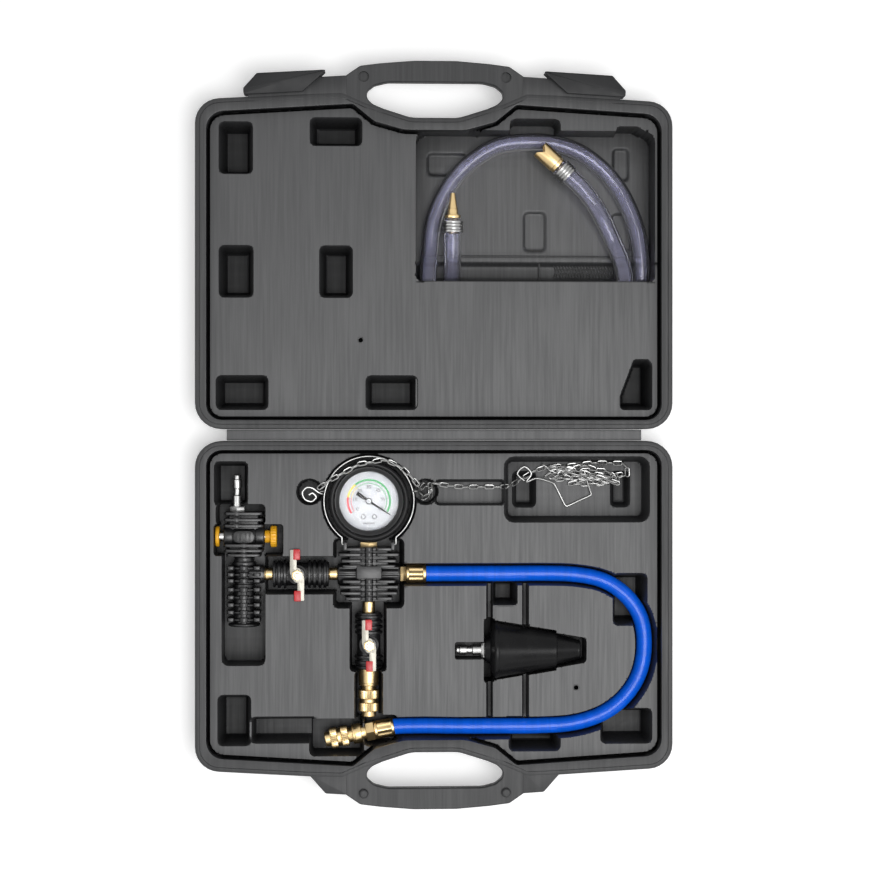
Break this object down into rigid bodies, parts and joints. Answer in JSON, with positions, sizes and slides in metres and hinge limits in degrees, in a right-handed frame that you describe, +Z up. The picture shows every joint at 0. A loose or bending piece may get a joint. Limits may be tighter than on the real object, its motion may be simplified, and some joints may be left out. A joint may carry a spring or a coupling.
{
  "type": "coolant vacuum filler",
  "caption": "Coolant vacuum filler kit in an open hinged case: venturi, ball valves, gauge and manifold, blue hose, cone adapter, clear hose, chain and hook",
  "frame": {"origin": "middle of the hinge line, on the surface that the opened case lies on", "axes": "+Y from the hinge towards the lid's front edge, +Z up, +X to the right as the case is read"},
  "size_m": [0.403, 0.6306, 0.0529],
  "materials": {
    "case": "satin",
    "black_casting": "satin",
    "steel": "polished",
    "brass": "polished",
    "black_rubber": "matte",
    "orange_plastic": "satin",
    "seat_plastic": "matte",
    "red_vinyl": "gloss",
    "dial_card": "matte",
    "pointer_black": "matte",
    "lens": "clear",
    "blue_hose": "gloss",
    "clear_hose": "clear"
  },
  "bodies": {
    "base": {"base_shell": "case"},
    "hinge": {"hinge_strip": "case"},
    "lid": {"lid_shell": "case", "clear_hose": "clear_hose", "tip_nozzle": "brass", "notched_nozzle": "brass", "hose_clamps": "steel"},
    "latch_left": {"latch_left": "case"},
    "latch_right": {"latch_right": "case"},
    "spool": {"spool_rod": "steel", "spool_seals": "black_rubber", "spool_knob": "orange_plastic", "spool_cap": "orange_plastic"},
    "valve1_handle": {"valve1_ball": "steel", "valve1_stem": "steel", "valve1_lever": "steel", "valve1_grips": "red_vinyl", "valve1_nut": "steel"},
    "valve2_handle": {"valve2_ball": "steel", "valve2_stem": "steel", "valve2_lever": "steel", "valve2_grips": "red_vinyl", "valve2_nut": "steel"},
    "pointer": {"gauge_pointer": "pointer_black"},
    "sector": {"sector_gear": "brass"},
    "bail": {"bail_wire_ring": "steel", "chain": "steel", "chain_s_hook": "steel", "hanger_hook": "steel"},
    "hose_sleeve": {"hose_coupler_sleeve": "brass"},
    "outlet_sleeve": {"outlet_coupler_sleeve": "brass"},
    "cone": {"rubber_cone": "black_rubber", "cone_plug": "steel"},
    "tool": {"venturi_body": "black_casting", "muffler": "black_casting", "valve1_body": "black_casting", "valve1_end": "black_casting", "valve2_body": "black_casting", "valve2_end": "black_casting", "manifold_block": "black_casting", "inlet_plug": "steel", "gauge_case": "steel", "venturi_jet": "brass", "venturi_nipple": "brass", "manifold_nipple": "brass", "outlet_nipple": "brass", "gauge_stem": "brass", "gauge_movement": "brass", "bourdon_tube": "brass", "hose_fitting": "brass", "fitting_ferrule": "brass", "coupler_ferrule": "brass", "hose_coupler_body": "brass", "outlet_coupler_body": "brass", "gauge_boot": "black_rubber", "valve1_seats": "seat_plastic", "valve2_seats": "seat_plastic", "gauge_dial": "dial_card", "gauge_lens": "lens", "blue_hose": "blue_hose"}
  },
  "joints": [
    {"name": "strip_fold", "type": "hinge", "parent": "base", "child": "hinge", "pos_m": [0, -0.0039, 0.0382], "axis": [-1, 0, 0], "range_deg": [-90, 0]},
    {"name": "lid_fold", "type": "hinge", "parent": "hinge", "child": "lid", "pos_m": [0, 0.0039, 0.0382], "axis": [-1, 0, 0], "range_deg": [-90, 0]},
    {"name": "left_latch_slide", "type": "slide", "parent": "lid", "child": "latch_left", "axis": [-0.9983, -0.0578, 0], "range_m": [-0.015, 0]},
    {"name": "right_latch_slide", "type": "slide", "parent": "lid", "child": "latch_right", "axis": [0.9983, -0.0578, 0], "range_m": [-0.015, 0]},
    {"name": "tool_lift", "type": "slide", "parent": "base", "child": "tool", "axis": [0, 0, 1], "range_m": [0, 0.12]},
    {"name": "cone_lift", "type": "slide", "parent": "base", "child": "cone", "axis": [0, 0, 1], "range_m": [0, 0.12]},
    {"name": "spool_push", "type": "slide", "parent": "tool", "child": "spool", "axis": [1, 0, 0], "range_m": [0, 0.0034]},
    {"name": "valve1_turn", "type": "hinge", "parent": "tool", "child": "valve1_handle", "pos_m": [-0.116, -0.118, 0.0376], "axis": [0, 0, 1], "range_deg": [0, 90]},
    {"name": "valve2_turn", "type": "hinge", "parent": "tool", "child": "valve2_handle", "pos_m": [-0.0555, -0.1775, 0.0376], "axis": [0, 0, 1], "range_deg": [0, 90]},
    {"name": "sector_turn", "type": "hinge", "parent": "tool", "child": "sector", "pos_m": [-0.0555, -0.074, 0.0207], "axis": [0, 0, 1], "range_deg": [-51, 0]},
    {"name": "pointer_turn", "type": "hinge", "parent": "tool", "child": "pointer", "pos_m": [-0.0555, -0.056, 0.0207], "axis": [0, 0, 1], "range_deg": [0, 255]},
    {"name": "bail_swing", "type": "hinge", "parent": "tool", "child": "bail", "pos_m": [-0.0555, -0.0925, 0.033], "axis": [1, 0, 0], "range_deg": [0, 100]},
    {"name": "outlet_sleeve_slide", "type": "slide", "parent": "tool", "child": "outlet_sleeve", "axis": [0, 1, 0], "range_m": [0, 0.003], "stiffness_N_per_m": 800, "springref_m": -0.004},
    {"name": "hose_sleeve_slide", "type": "slide", "parent": "tool", "child": "hose_sleeve", "axis": [0.9836, 0.1805, 0], "range_m": [0, 0.003], "stiffness_N_per_m": 800, "springref_m": -0.004}
  ],
  "couplings": [
    {"joint": "pointer_turn", "follows": "sector_turn", "ratio": -5}
  ]
}
